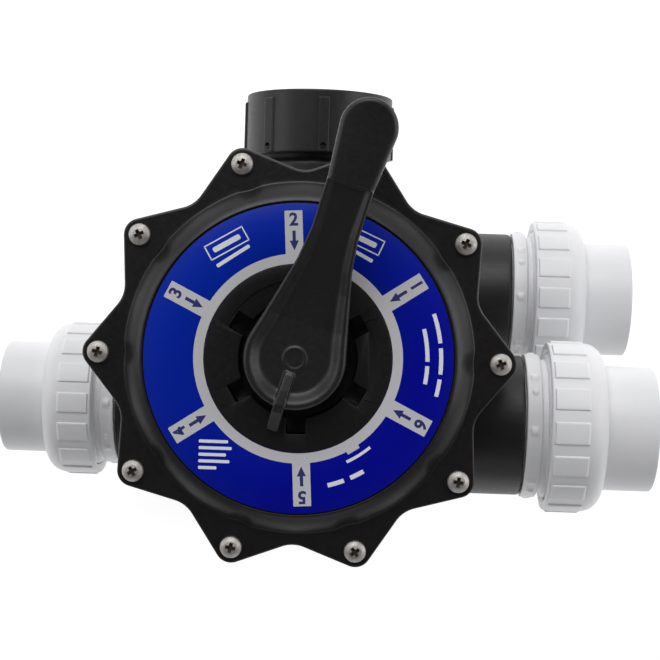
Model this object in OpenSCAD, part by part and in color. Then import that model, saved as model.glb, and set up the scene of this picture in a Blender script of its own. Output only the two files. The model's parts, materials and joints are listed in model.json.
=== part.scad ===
// Six-way multiport valve for a pool filter, side-mounted type.
// The valve axis is +Z: the flat base is at z = 0 and the cover and handle are on top.
// Port axes lie flat in two tiers, one above the other.

/* [Body] */
// Outer radius of the lower body, which holds the four sector chambers
lower_r = 92; // [91:0.5:93]
// Outer radius of the upper chamber, where the rotor turns
upper_r = 84; // [83:0.5:85]
// Inner radius of the upper chamber
chamber_r = 77; // [77:0.1:77.3]
// Height of the lower ports' axis above the base
lower_axis_z = 54; // [53:0.5:55]
// Height of the pump port's axis above the base
upper_axis_z = 164; // [163:0.5:164.5]
// Top of the deck on which the rotor seals
deck_z = 118; // [117:0.5:118.5]
// Underside of the body flange
flange_z = 208; // [207:0.5:209]
// Thickness of the body flange
flange_t = 12; // [11.5:0.5:12.5]

/* [Flange outline] */
// Radius of the circle through the screws
bolt_r = 110.5; // [110:0.5:111]
// Radius of a lobe's rounded tip
lobe_r = 9; // [8.5:0.5:9.5]
// Radius of the hollow between two lobes
hollow_r = 17; // [16.5:0.5:17.5]
// Distance of a hollow's centre from the valve axis
hollow_at = 120; // [119.5:0.5:121]

/* [Cover] */
// Thickness of the cover's flange
cover_t = 12; // [11.5:0.5:12.5]
// Height of the cover's raised plateau above its flange
plateau_h = 9; // [8.5:0.5:9.5]
// Radius of the shoulder at the flange
shoulder_r = 96; // [95:0.5:96.5]
// Radius of the plateau
plateau_r = 87.5; // [87:0.5:88]
// Radius of the central well for the handle
well_r = 32.4; // [32.2:0.1:32.8]
// Outer end of the six locking notches
notch_end = 41; // [40:0.5:42]
// Width of a locking notch
notch_w = 10.8; // [10:0.2:11.4]

/* [Dial label] */
// Outer radius of the label
label_ro = 84.3; // [83:0.1:84.6]
// Inner radius of the label
label_ri = 51.4; // [50:0.1:53]
// Thickness of the label
label_t = 0.5; // [0.4:0.1:0.6]

/* [Handle] */
// Direction of the handle's arm, anticlockwise from +X
handle_dir = 73.5; // [70:0.5:80]
// Distance that the handle sits off the valve axis, sideways on its pin
handle_shift = 1.1; // [0:0.1:2.4]
// Radius of the handle's hub
hub_r = 27.5; // [27:0.5:28]
// Distance from the pin to the tip of the paddle
handle_len = 142; // [140:1:144]
// Width of the arm at its narrowest
arm_w = 25.5; // [24.5:0.5:26.5]
// Width of the paddle
paddle_w = 31; // [30:0.5:32]
// Distance from the pin to the start of the paddle
paddle_at = 96; // [95:1:97]
// Radius of the pin that joins handle and rotor shaft
pin_r = 3; // [2.8:0.1:3.2]

/* [Ports and unions] */
// Outer radius of a port barrel
barrel_r = 41; // [40.5:0.5:41]
// Radius of the water way
way_r = 27; // [26.5:0.5:27]
// Sideways offset of the side ports from the valve axis
port_offset = 38; // [37:0.5:38.5]
// Distance of the left barrel's end from the valve axis
left_end = 124; // [121:0.5:126]
// Distance of the upper right barrel's end from the valve axis
upper_right_end = 127.5; // [125:0.5:130]
// Distance of the lower right barrel's end from the valve axis
lower_right_end = 128; // [125:0.5:130]
// Outer radius of a union nut between its grip pads
nut_r = 49.3; // [49:0.1:49.5]
// Number of grip pads around a nut
pads = 16; // [12:1:18]
// Outer radius of a tailpiece, a 2 inch pipe socket
tail_r = 36.5; // [36.2:0.1:36.6]
// Radius of the pipe socket
socket_r = 30.25; // [30.1:0.05:30.3]
// Depth of the pipe socket
socket_depth = 38; // [34:0.5:38]

/* [Hidden] */
$fn = 96;

// Heights of the stacked body, cover and handle
seat_z = flange_z + flange_t;
lid_z = seat_z + cover_t;
top_z = lid_z + plateau_h;
well_z = top_z - 13;
notch_z = well_z;
washer_t = 1.7;
hub_drop = 15;
pin_z = well_z + washer_t + 0.3 + hub_drop;

// Ports: a point on the axis beside the valve axis, direction and distance of the barrel's end
left_port = [0, -port_offset, lower_axis_z, 180, left_end];
upper_right_port = [0, port_offset, lower_axis_z, 0, upper_right_end];
lower_right_port = [0, -port_offset, upper_axis_z, 0, lower_right_end];
top_port = [0, 0, lower_axis_z, 90, 120.5];
bottom_port = [0, 0, lower_axis_z, 270, 115];
chamber_side = 66;
pump_side = 50;
nozzle_r = 39;
nozzle_end = 140;
bottom_thread_len = 22;
gauge_dir = 180;
gauge_hole_r = 6.6;
gauge_boss_r = 11;
gauge_boss_end = 92;

// Body
lobes = 10;
floor_z = 8;
floor_t = 6;
chamber_wall = 7;
deck_t = 12;
foot_r = 16;
foot_ring_ro = 88;
foot_ring_ri = 70;
sector_walls = [60, 120, 240, 300];
sector_wall_t = 5;
deck_hub_r = 26;
window_ro = 69;
spoke_w = 9;

// Fastening
screw_r = 3;
screw_hole_r = 3.3;
screw_head_r = 6.1;
screw_head_h = 4;
screw_low_z = flange_z - 8;
screw_turn = 47;
hex_nut_r = 5.77;
hex_nut_h = 5;

// Spindle
shaft_r = 10;
shaft_bore_r = 10.05;
boss_r = 15.5;
boss_z = well_z - 23;
spring_seat_z = well_z - 10;
skirt_r = 76.7;
skirt_in_r = 70;
skirt_z = seat_z - 12;
rotor_z = deck_z + 3.3;
rotor_r = 74;
rotor_disc_t = 9;
window_margin = 6;
rotor_hub_z = rotor_z + 29;
rotor_hub_r = 25;
tang_z = pin_z - 18.5;
tang_half = 6.5;
tang_t = 12;
pin_len = 42;
pointer_len = 41;
pointer_half = 3;
hub_boss_r = 6.5;

// Shaft seals and spring
shaft_ring_z = [boss_z + 5, boss_z + 13];
shaft_ring_wire = 0.8;
shaft_groove_r = 8.4;
slip_washer_t = 2;
spring_low = rotor_hub_z + slip_washer_t + 0.4;
spring_high = spring_seat_z - 0.2;
spring_mid_r = 20.5;
spring_wire = 2.2;
spring_turns = 7;
spring_flat = 0.12;

// Top adapter
adapter_low = 125;
adapter_high = 165;
adapter_r = 47.75;
adapter_ribs = 8;
adapter_rib_h = 1.4;
adapter_rib_deg = 7.5;
adapter_rib_from = 1.75;
adapter_rim = 5;

// Union stack, measured outwards from the end of the barrel
spigot_len = 20;
spigot_r = 35.9;
spigot_socket_r = 36;
collar_r = 42;
collar_t = 9.5;
lugs = 8;
lug_z = 3;
lug_w = 4;
lug_len = 3.5;
lug_h = 1;
thread_r = 43.2;
union_face = 31;
tail_gap = 0.3;
tail_flange_r = 42.6;
tail_flange_t = 7;
tail_end = 76.5;
nut_low = 14;
nut_bore_r = 43.7;
nut_shoulder = 35.5;
nut_high = 47;
nut_mouth_r = tail_r + 0.35;
pad_h = 1;
pad_low = 16;
pad_len = 19;
pad_share = 0.63;
union_ring_r = 35.2;
union_ring_wire = 1.9;

black = [0.13, 0.115, 0.12];
pvc_white = [0.9, 0.9, 0.91];
rubber = [0.07, 0.07, 0.07];
steel = [0.75, 0.75, 0.76];

function turn(v, a) = [v.x * cos(a) - v.y * sin(a), v.x * sin(a) + v.y * cos(a)];
function polar(r, a) = [r * cos(a), r * sin(a)];

// The four tangent points of one lobe: its two flanks leave the tip and meet the hollows
function lobe_points(k) =
    let (pitch = 360 / lobes,
        tip = polar(bolt_r, k * pitch),
        ahead = polar(hollow_at, (k + 0.5) * pitch),
        behind = polar(hollow_at, (k - 0.5) * pitch),
        reach = norm(ahead - tip),
        tilt = acos((lobe_r + hollow_r) / reach),
        out_b = turn((behind - tip) / reach, tilt),
        out_a = turn((ahead - tip) / reach, -tilt))
    [behind - hollow_r * out_b, tip + lobe_r * out_b, tip + lobe_r * out_a, ahead - hollow_r * out_a];

// Outline shared by the body flange and the cover flange
module star() {
    difference() {
        union() {
            polygon([for (k = [0:lobes - 1]) for (p = lobe_points(k)) p]);
            for (k = [0:lobes - 1])
                translate(polar(bolt_r, k * 360 / lobes))
                    circle(r = lobe_r);
        }
        for (k = [0:lobes - 1])
            translate(polar(hollow_at, (k + 0.5) * 360 / lobes))
                circle(r = hollow_r);
    }
}

module each_screw() {
    for (k = [0:lobes - 1])
        rotate(k * 360 / lobes)
            translate([bolt_r, 0, 0])
                children();
}

// Puts local +Z along a port's axis, with its zero beside the valve axis
module at_port(port) {
    translate([port[0], port[1], port[2]])
        rotate([0, 90, port[3]])
            children();
}

// The same, with its zero at the end of the barrel
module at_union(port) {
    at_port(port)
        translate([0, 0, port[4]])
            children();
}

// Puts local +Z outwards through the side of the upper chamber, where the gauge port is
module at_gauge() {
    translate([0, 0, upper_axis_z])
        rotate([0, 90, gauge_dir])
            children();
}

module ring(ro, ri, h) {
    rotate_extrude()
        translate([ri, 0])
            square([ro - ri, h]);
}

module torus(r, wire) {
    rotate_extrude()
        translate([r, 0])
            circle(r = wire, $fn = 48);
}

// Barrel of a port, from inside the body to its end
module barrel(port, from) {
    at_port(port)
        translate([0, 0, from])
            cylinder(r = barrel_r, h = port[4] - from);
}

module water_way(port, from, to) {
    at_port(port)
        translate([0, 0, from])
            cylinder(r = way_r, h = to - from + 1);
}

module union_socket(port) {
    at_port(port)
        translate([0, 0, port[4] - spigot_len - 0.5])
            cylinder(r = spigot_socket_r, h = spigot_len + 1);
}

// The space of the four sector chambers: everything but the dividing walls
module sectors(ro, from, high) {
    translate([0, 0, from])
        difference() {
            cylinder(r = ro, h = high);
            for (a = sector_walls)
                rotate(a)
                    translate([0, -sector_wall_t / 2, -1])
                        cube([ro + 1, sector_wall_t, high + 2]);
        }
}

// Six windows between spokes
module windows(from, high) {
    translate([0, 0, from])
        difference() {
            ring(window_ro, deck_hub_r, high);
            for (k = [0:5])
                rotate(k * 60)
                    translate([0, -spoke_w / 2, -1])
                        cube([window_ro + 1, spoke_w, high + 2]);
        }
}

// Triangular ribs under the body flange, one below each hollow of its outline
module gussets() {
    for (k = [0:lobes - 1])
        rotate((k + 0.5) * 360 / lobes)
            translate([upper_r - 3, 2, flange_z])
                rotate([90, 0, 0])
                    linear_extrude(4)
                        polygon([[0, 1], [18, 1], [18, -3], [0, -24]]);
}

module valve_body() {
    color(black)
        difference() {
            union() {
                translate([0, 0, floor_z])
                    cylinder(r = lower_r, h = deck_z - floor_z);
                ring(foot_ring_ro, foot_ring_ri, floor_z + 1);
                cylinder(r = foot_r, h = floor_z + 1);
                translate([0, 0, deck_z - 1])
                    cylinder(r = upper_r, h = flange_z - deck_z + 2);
                translate([0, 0, flange_z])
                    linear_extrude(flange_t)
                        star();
                gussets();
                barrel(left_port, chamber_side);
                barrel(upper_right_port, chamber_side);
                barrel(lower_right_port, pump_side);
                barrel(top_port, chamber_side);
                barrel(bottom_port, chamber_side);
                at_port(top_port)
                    translate([0, 0, chamber_side])
                        cylinder(r = nozzle_r, h = nozzle_end - chamber_side);
                at_gauge()
                    translate([0, 0, upper_r - 6])
                        cylinder(r = gauge_boss_r, h = gauge_boss_end - upper_r + 6);
            }
            // Chamber of the rotor
            translate([0, 0, deck_z])
                cylinder(r = chamber_r, h = seat_z - deck_z + 1);
            // Sector chambers and the windows in the deck above them
            sectors(lower_r - chamber_wall, floor_z + floor_t, deck_z - deck_t - floor_z - floor_t);
            windows(deck_z - deck_t - 1, deck_t + 2);
            // Ports
            water_way(left_port, chamber_side, left_end);
            water_way(upper_right_port, chamber_side, upper_right_end);
            water_way(lower_right_port, pump_side, lower_right_end);
            water_way(top_port, chamber_side, nozzle_end);
            water_way(bottom_port, chamber_side, bottom_port[4]);
            union_socket(left_port);
            union_socket(upper_right_port);
            union_socket(lower_right_port);
            at_port(bottom_port)
                translate([0, 0, bottom_port[4] - bottom_thread_len])
                    cylinder(r = socket_r, h = bottom_thread_len + 1);
            // Fastening and gauge port
            each_screw()
                translate([0, 0, flange_z - 1])
                    cylinder(r = screw_hole_r, h = flange_t + 2, $fn = 32);
            at_gauge()
                translate([0, 0, chamber_r - 5])
                    cylinder(r = gauge_hole_r, h = 30, $fn = 32);
        }
}

// Half section of the cover, turned about the valve axis
module cover_section() {
    web_z = spring_seat_z - 4;
    polygon([
        [shaft_bore_r, boss_z], [boss_r, boss_z], [boss_r, spring_seat_z], [60, spring_seat_z],
        [skirt_in_r, web_z], [skirt_in_r, skirt_z], [skirt_r - 1.5, skirt_z],
        [skirt_r, skirt_z + 1.5], [skirt_r, seat_z], [shoulder_r, seat_z], [shoulder_r, lid_z],
        for (a = [10:10:80]) [
            plateau_r + (shoulder_r - plateau_r) * cos(a),
            lid_z + plateau_h * sin(a)],
        [plateau_r, top_z], [label_ro + 0.2, top_z], [label_ro + 0.2, top_z - label_t],
        [label_ri - 0.2, top_z - label_t], [label_ri - 0.2, top_z], [well_r, top_z],
        [well_r, well_z], [shaft_bore_r, well_z]]);
}

module cover() {
    groove_h = 3.4;
    groove_depth = 2.9;
    color(black)
        difference() {
            union() {
                translate([0, 0, seat_z])
                    linear_extrude(cover_t)
                        difference() {
                            star();
                            circle(r = shoulder_r - 1);
                        }
                rotate_extrude()
                    cover_section();
            }
            // Locking notches
            for (k = [0:5])
                rotate(30 + k * 60)
                    translate([well_r - 4, -notch_w / 2, notch_z])
                        cube([notch_end - well_r + 4, notch_w, 20]);
            // Driver clearance scooped out of the shoulder beside each screw
            for (k = [0:lobes - 1])
                rotate(k * 360 / lobes)
                    translate([shoulder_r + 1.5, 0, lid_z + 5])
                        sphere(r = 5, $fn = 32);
            each_screw()
                translate([0, 0, seat_z - 1])
                    cylinder(r = screw_hole_r, h = cover_t + 2, $fn = 32);
            // Seal groove around the skirt
            translate([0, 0, skirt_z + 3.5])
                ring(skirt_r + 1, skirt_r - groove_depth, groove_h);
        }
}

module cover_oring() {
    color(rubber)
        translate([0, 0, skirt_z + 5.2])
            torus(skirt_r - 1.3, 1.5);
}

// Pan head screw with a cross recess
module screw() {
    difference() {
        union() {
            translate([0, 0, lid_z])
                rotate_extrude()
                    polygon([[0, 0], [screw_head_r, 0], [screw_head_r, screw_head_h * 0.45],
                        [screw_head_r * 0.9, screw_head_h * 0.75],
                        [screw_head_r * 0.65, screw_head_h * 0.95],
                        [screw_head_r * 0.35, screw_head_h], [0, screw_head_h]]);
            translate([0, 0, screw_low_z])
                cylinder(r = screw_r, h = lid_z - screw_low_z + 1, $fn = 32);
        }
        for (a = [0, 90])
            rotate(a)
                translate([-3, -0.8, lid_z + screw_head_h - 2.2])
                    cube([6, 1.6, 3]);
    }
}

module cover_screws() {
    color(steel)
        for (k = [0:lobes - 1])
            rotate(k * 360 / lobes)
                translate([bolt_r, 0, 0])
                    rotate(k * screw_turn)
                        screw();
}

module cover_nuts() {
    color(steel)
        each_screw()
            translate([0, 0, flange_z - hex_nut_h])
                difference() {
                    cylinder(r = hex_nut_r, h = hex_nut_h, $fn = 6);
                    translate([0, 0, -1])
                        cylinder(r = screw_r + 0.05, h = hex_nut_h + 2, $fn = 32);
                }
}

module dial_label() {
    color([0.05, 0.15, 0.62])
        translate([0, 0, top_z - label_t])
            ring(label_ro, label_ri, label_t);
}

module wear_washer() {
    color(steel)
        translate([0, 0, well_z])
            ring(hub_r - 2.5, shaft_r + 1, washer_t);
}

// Rubber gasket on the deck: an outer ring, a hub ring and six spokes
module spider_gasket() {
    gasket_t = 3;
    color(rubber)
        translate([0, 0, deck_z])
            difference() {
                ring(rotor_r, 14, gasket_t);
                windows(-1, gasket_t + 2);
            }
}

module gauge_plug() {
    head_z = gauge_boss_end + 2;
    color(black)
        at_gauge() {
            translate([0, 0, chamber_r + 1])
                cylinder(r = gauge_hole_r - 0.1, h = head_z - chamber_r - 1, $fn = 32);
            translate([0, 0, head_z])
                cylinder(r = 9.5, h = 7, $fn = 6);
        }
}

module gauge_plug_oring() {
    color(rubber)
        at_gauge()
            translate([0, 0, gauge_boss_end + 1])
                torus(gauge_hole_r + 1, 0.98);
}

// One block of the rotor, a part of a turn between two radii
module rotor_block(from, sweep, ri, ro, low, high) {
    translate([0, 0, low])
        rotate(from)
            rotate_extrude(angle = sweep)
                translate([ri, 0])
                    square([ro - ri, high - low]);
}

// Rotor: a disc with two open windows, a domed passage that joins two others, and the shaft
module rotor() {
    disc_top = rotor_z + rotor_disc_t;
    dome_top = rotor_hub_z - 1;
    dome_from = 120;
    dome_sweep = 120;
    dome_wall = 4;
    color([0.2, 0.2, 0.21])
        difference() {
            union() {
                translate([0, 0, rotor_z])
                    cylinder(r = rotor_r, h = rotor_disc_t);
                rotor_block(dome_from, dome_sweep, rotor_hub_r - 5, rotor_r - 1, disc_top - 1, dome_top);
                translate([0, 0, disc_top - 1])
                    cylinder(r = rotor_hub_r, h = rotor_hub_z - disc_top + 1);
                translate([0, 0, rotor_hub_z - 1])
                    cylinder(r = shaft_r, h = tang_z - rotor_hub_z + 1);
                // Flattened end that the handle straddles
                rotate(handle_dir) {
                    translate([-tang_half, -tang_t / 2, tang_z - 1])
                        cube([2 * tang_half, tang_t, pin_z - tang_z + 1]);
                    translate([0, tang_t / 2, pin_z])
                        rotate([90, 0, 0])
                            cylinder(r = tang_half, h = tang_t);
                }
            }
            // Passage under the dome, then the two open windows
            rotor_block(dome_from + window_margin, dome_sweep - 2 * window_margin, deck_hub_r + 2,
                window_ro, rotor_z - 1, dome_top - dome_wall);
            for (from = [0, 60])
                rotor_block(from + window_margin, 60 - 2 * window_margin, deck_hub_r + 2, window_ro,
                    rotor_z - 1, disc_top + 1);
            // Grooves for the two shaft seals
            for (z = shaft_ring_z)
                translate([0, 0, z - 1.1])
                    ring(shaft_r + 1, shaft_groove_r, 2.2);
            rotate(handle_dir)
                translate([0, tang_t, pin_z])
                    rotate([90, 0, 0])
                        cylinder(r = pin_r, h = 2 * tang_t, $fn = 48);
        }
}

module shaft_orings() {
    color(rubber)
        for (z = shaft_ring_z)
            translate([0, 0, z])
                torus(shaft_groove_r + shaft_ring_wire, shaft_ring_wire);
}

module slip_washer() {
    color(steel)
        translate([0, 0, rotor_hub_z + 0.3])
            ring(rotor_hub_r - 0.5, shaft_r + 0.6, slip_washer_t);
}

// Ring of points around the spring's wire at one place along the coil
function coil_ring(t) =
    let (a = 360 * spring_turns * t,
        climb = min(1, max(0, (t - spring_flat) / (1 - 2 * spring_flat))),
        z = spring_low + spring_wire + (spring_high - spring_low - 2 * spring_wire) * climb)
    [for (k = [0:7])
        let (r = spring_mid_r + spring_wire * cos(45 * k))
        [r * cos(a), r * sin(a), z + spring_wire * sin(45 * k)]];

// Compression spring between the cover and the slip washer, with nearly flat end turns
module spring() {
    steps = spring_turns * 20;
    points = [for (i = [0:steps]) for (p = coil_ring(i / steps)) p];
    sides = [for (i = [0:steps - 1]) for (k = [0:7])
        [8 * i + k, 8 * (i + 1) + k, 8 * (i + 1) + (k + 1) % 8, 8 * i + (k + 1) % 8]];
    ends = [[for (k = [0:7]) k], [for (k = [7:-1:0]) 8 * steps + k]];
    color(steel)
        polyhedron(points, concat(sides, ends), convexity = 10);
}

module handle_pin() {
    color(steel)
        rotate(handle_dir)
            translate([0, pin_len / 2, pin_z])
                rotate([90, 0, 0])
                    cylinder(r = pin_r, h = pin_len, $fn = 48);
}

// Extrudes a side view, drawn as distance along the arm and height above the pin, across the handle
module across_handle(half) {
    translate([0, half, 0])
        rotate([90, 0, 0])
            linear_extrude(2 * half)
                children();
}

// Side view of the handle: underside from hub to tip, then back along the top
module handle_side() {
    polygon([[-hub_r - 1, -hub_drop], [20, -hub_drop], [26, -7], [33, 2], [paddle_at, 22.5],
        [handle_len + 1, 31.5], [handle_len + 1, 40.5], [paddle_at + 1, 32.5], [paddle_at, 31],
        [30, 12.5], [-hub_r - 1, 12.5]]);
}

// Plan of the handle: round hub, tapering arm and round-ended paddle
module handle_plan(inset) {
    neck = 62;
    hub = hub_r - inset;
    half = arm_w / 2 - inset;
    paddle_half = paddle_w / 2 - inset;
    paddle_end = handle_len - paddle_w / 2;
    flank = acos((hub_r - arm_w / 2) / neck);
    circle(r = hub);
    polygon([
        polar(hub, flank), polar(hub, -flank), [neck, -half], [paddle_at, -half],
        [paddle_end, -paddle_half], [paddle_end, paddle_half], [paddle_at, half], [neck, half]]);
    translate([paddle_end, 0])
        circle(r = paddle_half);
}

// The dish in the hub and the channel in the arm, with the pointer and a round boss left standing
module handle_hollow() {
    rim = 3;
    end = paddle_at - 3;
    difference() {
        intersection() {
            across_handle(40)
                polygon([[-hub_r, 8.5], [28, 8.5], [end, 26], [end, 60], [-hub_r, 60]]);
            linear_extrude(60)
                intersection() {
                    handle_plan(rim);
                    translate([-hub_r, -hub_r])
                        square([end + hub_r, 2 * hub_r]);
                }
        }
        translate([-pointer_len, -pointer_half, -5])
            cube([pointer_len - 8, 2 * pointer_half, 18.5]);
        cylinder(r = hub_boss_r, h = 9.6);
    }
}

// Keeps the handle's flanks clear of the plateau around the well, at rest and pressed down
module handle_clearance() {
    low = -20;
    rest_z = top_z + 0.3 - pin_z;
    tilt_from = 17;
    tilt_rise = 0.28;
    intersection() {
        translate([0, 0, low])
            ring(60, well_r - 1, 30);
        across_handle(40)
            polygon([[-60, low], [60, low], [60, rest_z + tilt_rise * (60 - tilt_from)],
                [tilt_from, rest_z], [-60, rest_z]]);
    }
}

module handle() {
    color(black)
        translate([0, 0, pin_z])
            rotate(handle_dir)
                difference() {
                    translate([0, handle_shift, 0])
                        difference() {
                            union() {
                                intersection() {
                                    across_handle(40)
                                        handle_side();
                                    translate([0, 0, -20])
                                        linear_extrude(80)
                                            handle_plan(0);
                                }
                                // Pointer opposite the arm
                                across_handle(pointer_half)
                                    polygon([[-8, 0], [-pointer_len, top_z + 0.3 - pin_z],
                                        [-pointer_len, 3], [-31, 12.5], [-8, 13.5]]);
                            }
                            handle_hollow();
                        }
                    handle_clearance();
                    // Slot for the shaft's flattened end, and the pin's hole
                    translate([-11.5, -tang_t / 2 - 0.3, -hub_drop - 1])
                        cube([23, tang_t + 0.6, hub_drop + 1]);
                    translate([0, tang_t / 2 + 0.3, 0])
                        rotate([90, 0, 0])
                            cylinder(r = tang_half + 0.5, h = tang_t + 0.6);
                    translate([0, pin_len / 2 + 0.5, 0])
                        rotate([90, 0, 0])
                            cylinder(r = pin_r + 0.05, h = pin_len + 1, $fn = 48);
                }
}

// Ribbed coupling with a female thread, screwed on the top port's nozzle
module port_adapter() {
    color(black)
        at_port(top_port)
            difference() {
                union() {
                    translate([0, 0, adapter_low])
                        cylinder(r = adapter_r, h = adapter_high - adapter_low);
                    for (k = [0:adapter_ribs - 1])
                        rotate(adapter_rib_from + 360 * k / adapter_ribs)
                            translate([0, 0, adapter_low])
                                rotate_extrude(angle = adapter_rib_deg)
                                    translate([adapter_r - 1, 0])
                                        square([1 + adapter_rib_h,
                                            adapter_high - adapter_low - adapter_rim]);
                }
                translate([0, 0, adapter_low - 1])
                    cylinder(r = nozzle_r + 0.1, h = nozzle_end - adapter_low + 2.5);
                translate([0, 0, nozzle_end])
                    cylinder(r = socket_r, h = adapter_high - nozzle_end + 1);
            }
}

module port_adapter_oring() {
    color(rubber)
        at_port(top_port)
            translate([0, 0, nozzle_end])
                ring(nozzle_r - 1, way_r + 4, 1.4);
}

// Union end that is glued into a port barrel
module union_body() {
    neck_z = collar_t + 1.5;
    color(pvc_white)
        difference() {
            union() {
                translate([0, 0, -spigot_len])
                    cylinder(r = spigot_r, h = spigot_len + 1);
                cylinder(r = collar_r, h = collar_t);
                translate([0, 0, collar_t - 1])
                    cylinder(r = collar_r - 1, h = 3);
                translate([0, 0, neck_z])
                    cylinder(r = thread_r, h = union_face - neck_z);
                for (k = [0:lugs - 1])
                    rotate(11 + 360 * k / lugs)
                        translate([collar_r - 1, -lug_w / 2, lug_z])
                            cube([1 + lug_h, lug_w, lug_len]);
            }
            translate([0, 0, -spigot_len - 1])
                cylinder(r = way_r, h = spigot_len + union_face + 2);
            // Groove for the face seal, a little wider than its ring
            translate([0, 0, union_face - 2 * union_ring_wire])
                ring(union_ring_r + union_ring_wire + 0.3, union_ring_r - union_ring_wire - 0.3,
                    2 * union_ring_wire + 1);
        }
}

module union_oring() {
    color(rubber)
        translate([0, 0, union_face - union_ring_wire + 0.1])
            torus(union_ring_r, union_ring_wire);
}

module tailpiece() {
    color(pvc_white)
        translate([0, 0, union_face + tail_gap])
            difference() {
                union() {
                    cylinder(r = tail_flange_r, h = tail_flange_t);
                    cylinder(r = tail_r, h = tail_end - union_face - tail_gap);
                }
                translate([0, 0, -1])
                    cylinder(r = way_r - 1, h = tail_end);
                translate([0, 0, tail_end - union_face - tail_gap - socket_depth])
                    cylinder(r = socket_r, h = socket_depth + 1);
            }
}

module union_nut() {
    crown_r = nut_mouth_r + 1;
    inner_face = union_face + tail_gap + tail_flange_t + 0.3;
    color(pvc_white) {
        rotate_extrude()
            polygon([
                [nut_bore_r, nut_low], [nut_r, nut_low], [nut_r, nut_shoulder],
                for (a = [15:15:75]) [
                    crown_r + (nut_r - crown_r) * cos(a),
                    nut_shoulder + (nut_high - nut_shoulder) * sin(a)],
                [crown_r, nut_high], [nut_mouth_r, nut_high], [nut_mouth_r, inner_face],
                [nut_bore_r, inner_face]]);
        for (k = [0:pads - 1])
            rotate(360 * k / pads)
                translate([0, 0, pad_low])
                    rotate_extrude(angle = pad_share * 360 / pads)
                        translate([nut_r - 1, 0])
                            square([1 + pad_h, pad_len]);
    }
}

module left_union_body() {
    at_union(left_port)
        union_body();
}

module left_union_oring() {
    at_union(left_port)
        union_oring();
}

module left_union_nut() {
    at_union(left_port)
        union_nut();
}

module left_tailpiece() {
    at_union(left_port)
        tailpiece();
}

module upper_right_union_body() {
    at_union(upper_right_port)
        union_body();
}

module upper_right_union_oring() {
    at_union(upper_right_port)
        union_oring();
}

module upper_right_union_nut() {
    at_union(upper_right_port)
        union_nut();
}

module upper_right_tailpiece() {
    at_union(upper_right_port)
        tailpiece();
}

module lower_right_union_body() {
    at_union(lower_right_port)
        union_body();
}

module lower_right_union_oring() {
    at_union(lower_right_port)
        union_oring();
}

module lower_right_union_nut() {
    at_union(lower_right_port)
        union_nut();
}

module lower_right_tailpiece() {
    at_union(lower_right_port)
        tailpiece();
}

valve_body();
cover();
cover_oring();
cover_screws();
cover_nuts();
dial_label();
wear_washer();
spider_gasket();
gauge_plug();
gauge_plug_oring();
rotor();
shaft_orings();
slip_washer();
spring();
handle_pin();
handle();
port_adapter();
port_adapter_oring();
left_union_body();
left_union_oring();
left_union_nut();
left_tailpiece();
upper_right_union_body();
upper_right_union_oring();
upper_right_union_nut();
upper_right_tailpiece();
lower_right_union_body();
lower_right_union_oring();
lower_right_union_nut();
lower_right_tailpiece();
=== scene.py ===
"""Looks of the multiport valve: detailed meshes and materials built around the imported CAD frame.

Lengths inside the shape functions are millimetres in the row frame; they become metres when a mesh
is made. Places come from the frame: boxes of CAD nodes, and the joints.
"""
import json
import math

import bmesh
import bpy
import numpy as np
from mathutils import Matrix, Vector


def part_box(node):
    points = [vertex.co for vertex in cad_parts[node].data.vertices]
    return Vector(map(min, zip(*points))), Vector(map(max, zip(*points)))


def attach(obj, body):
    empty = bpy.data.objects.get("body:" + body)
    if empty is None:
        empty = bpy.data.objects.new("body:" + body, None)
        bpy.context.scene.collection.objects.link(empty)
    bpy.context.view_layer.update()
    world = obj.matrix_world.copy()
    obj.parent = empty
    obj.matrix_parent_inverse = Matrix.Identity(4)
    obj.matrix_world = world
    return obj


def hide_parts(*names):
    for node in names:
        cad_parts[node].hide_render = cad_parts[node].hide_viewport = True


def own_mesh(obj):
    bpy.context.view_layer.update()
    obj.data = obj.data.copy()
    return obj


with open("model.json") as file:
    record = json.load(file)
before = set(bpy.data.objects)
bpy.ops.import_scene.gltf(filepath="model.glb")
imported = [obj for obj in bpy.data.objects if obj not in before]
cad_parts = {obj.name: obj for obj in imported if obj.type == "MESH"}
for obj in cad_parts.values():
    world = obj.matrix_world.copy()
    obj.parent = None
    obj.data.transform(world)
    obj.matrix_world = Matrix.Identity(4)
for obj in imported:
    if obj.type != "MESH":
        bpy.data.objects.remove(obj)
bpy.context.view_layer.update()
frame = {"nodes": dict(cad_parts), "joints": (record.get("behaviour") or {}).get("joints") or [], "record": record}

MM = 0.001
TAU = 2 * math.pi
SIDES = ("left", "upper_right", "lower_right")
SPIGOT = 20.0           # how far a union end goes into its barrel, in millimetres


# ---------------------------------------------------------------- places taken from the frame

def box_mm(node):
    """Lowest and highest corner of a CAD node, in millimetres."""
    low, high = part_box(node)
    return np.array(low) / MM, np.array(high) / MM


def joint(name):
    return next(j for j in frame["joints"] if j["name"] == name)


SCREW_HEAD_R = 6.1
SCREW_HEAD_H = 4.0
TOP_Z = box_mm("cover")[1][2]
LID_Z = box_mm("cover_screws")[1][2] - SCREW_HEAD_H
SEAT_Z = box_mm("valve_body")[1][2]
WELL_Z = box_mm("wear_washer")[0][2]
BOLT_R = box_mm("cover_screws")[1][0] - SCREW_HEAD_R
LABEL_RO = box_mm("dial_label")[1][0]
PIN_Z = (box_mm("handle_pin")[0][2] + box_mm("handle_pin")[1][2]) / 2
PRESS_AXIS = Vector(joint("handle_press")["axis"])
HANDLE_DIR = math.atan2(-PRESS_AXIS.x, PRESS_AXIS.y)

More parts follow.
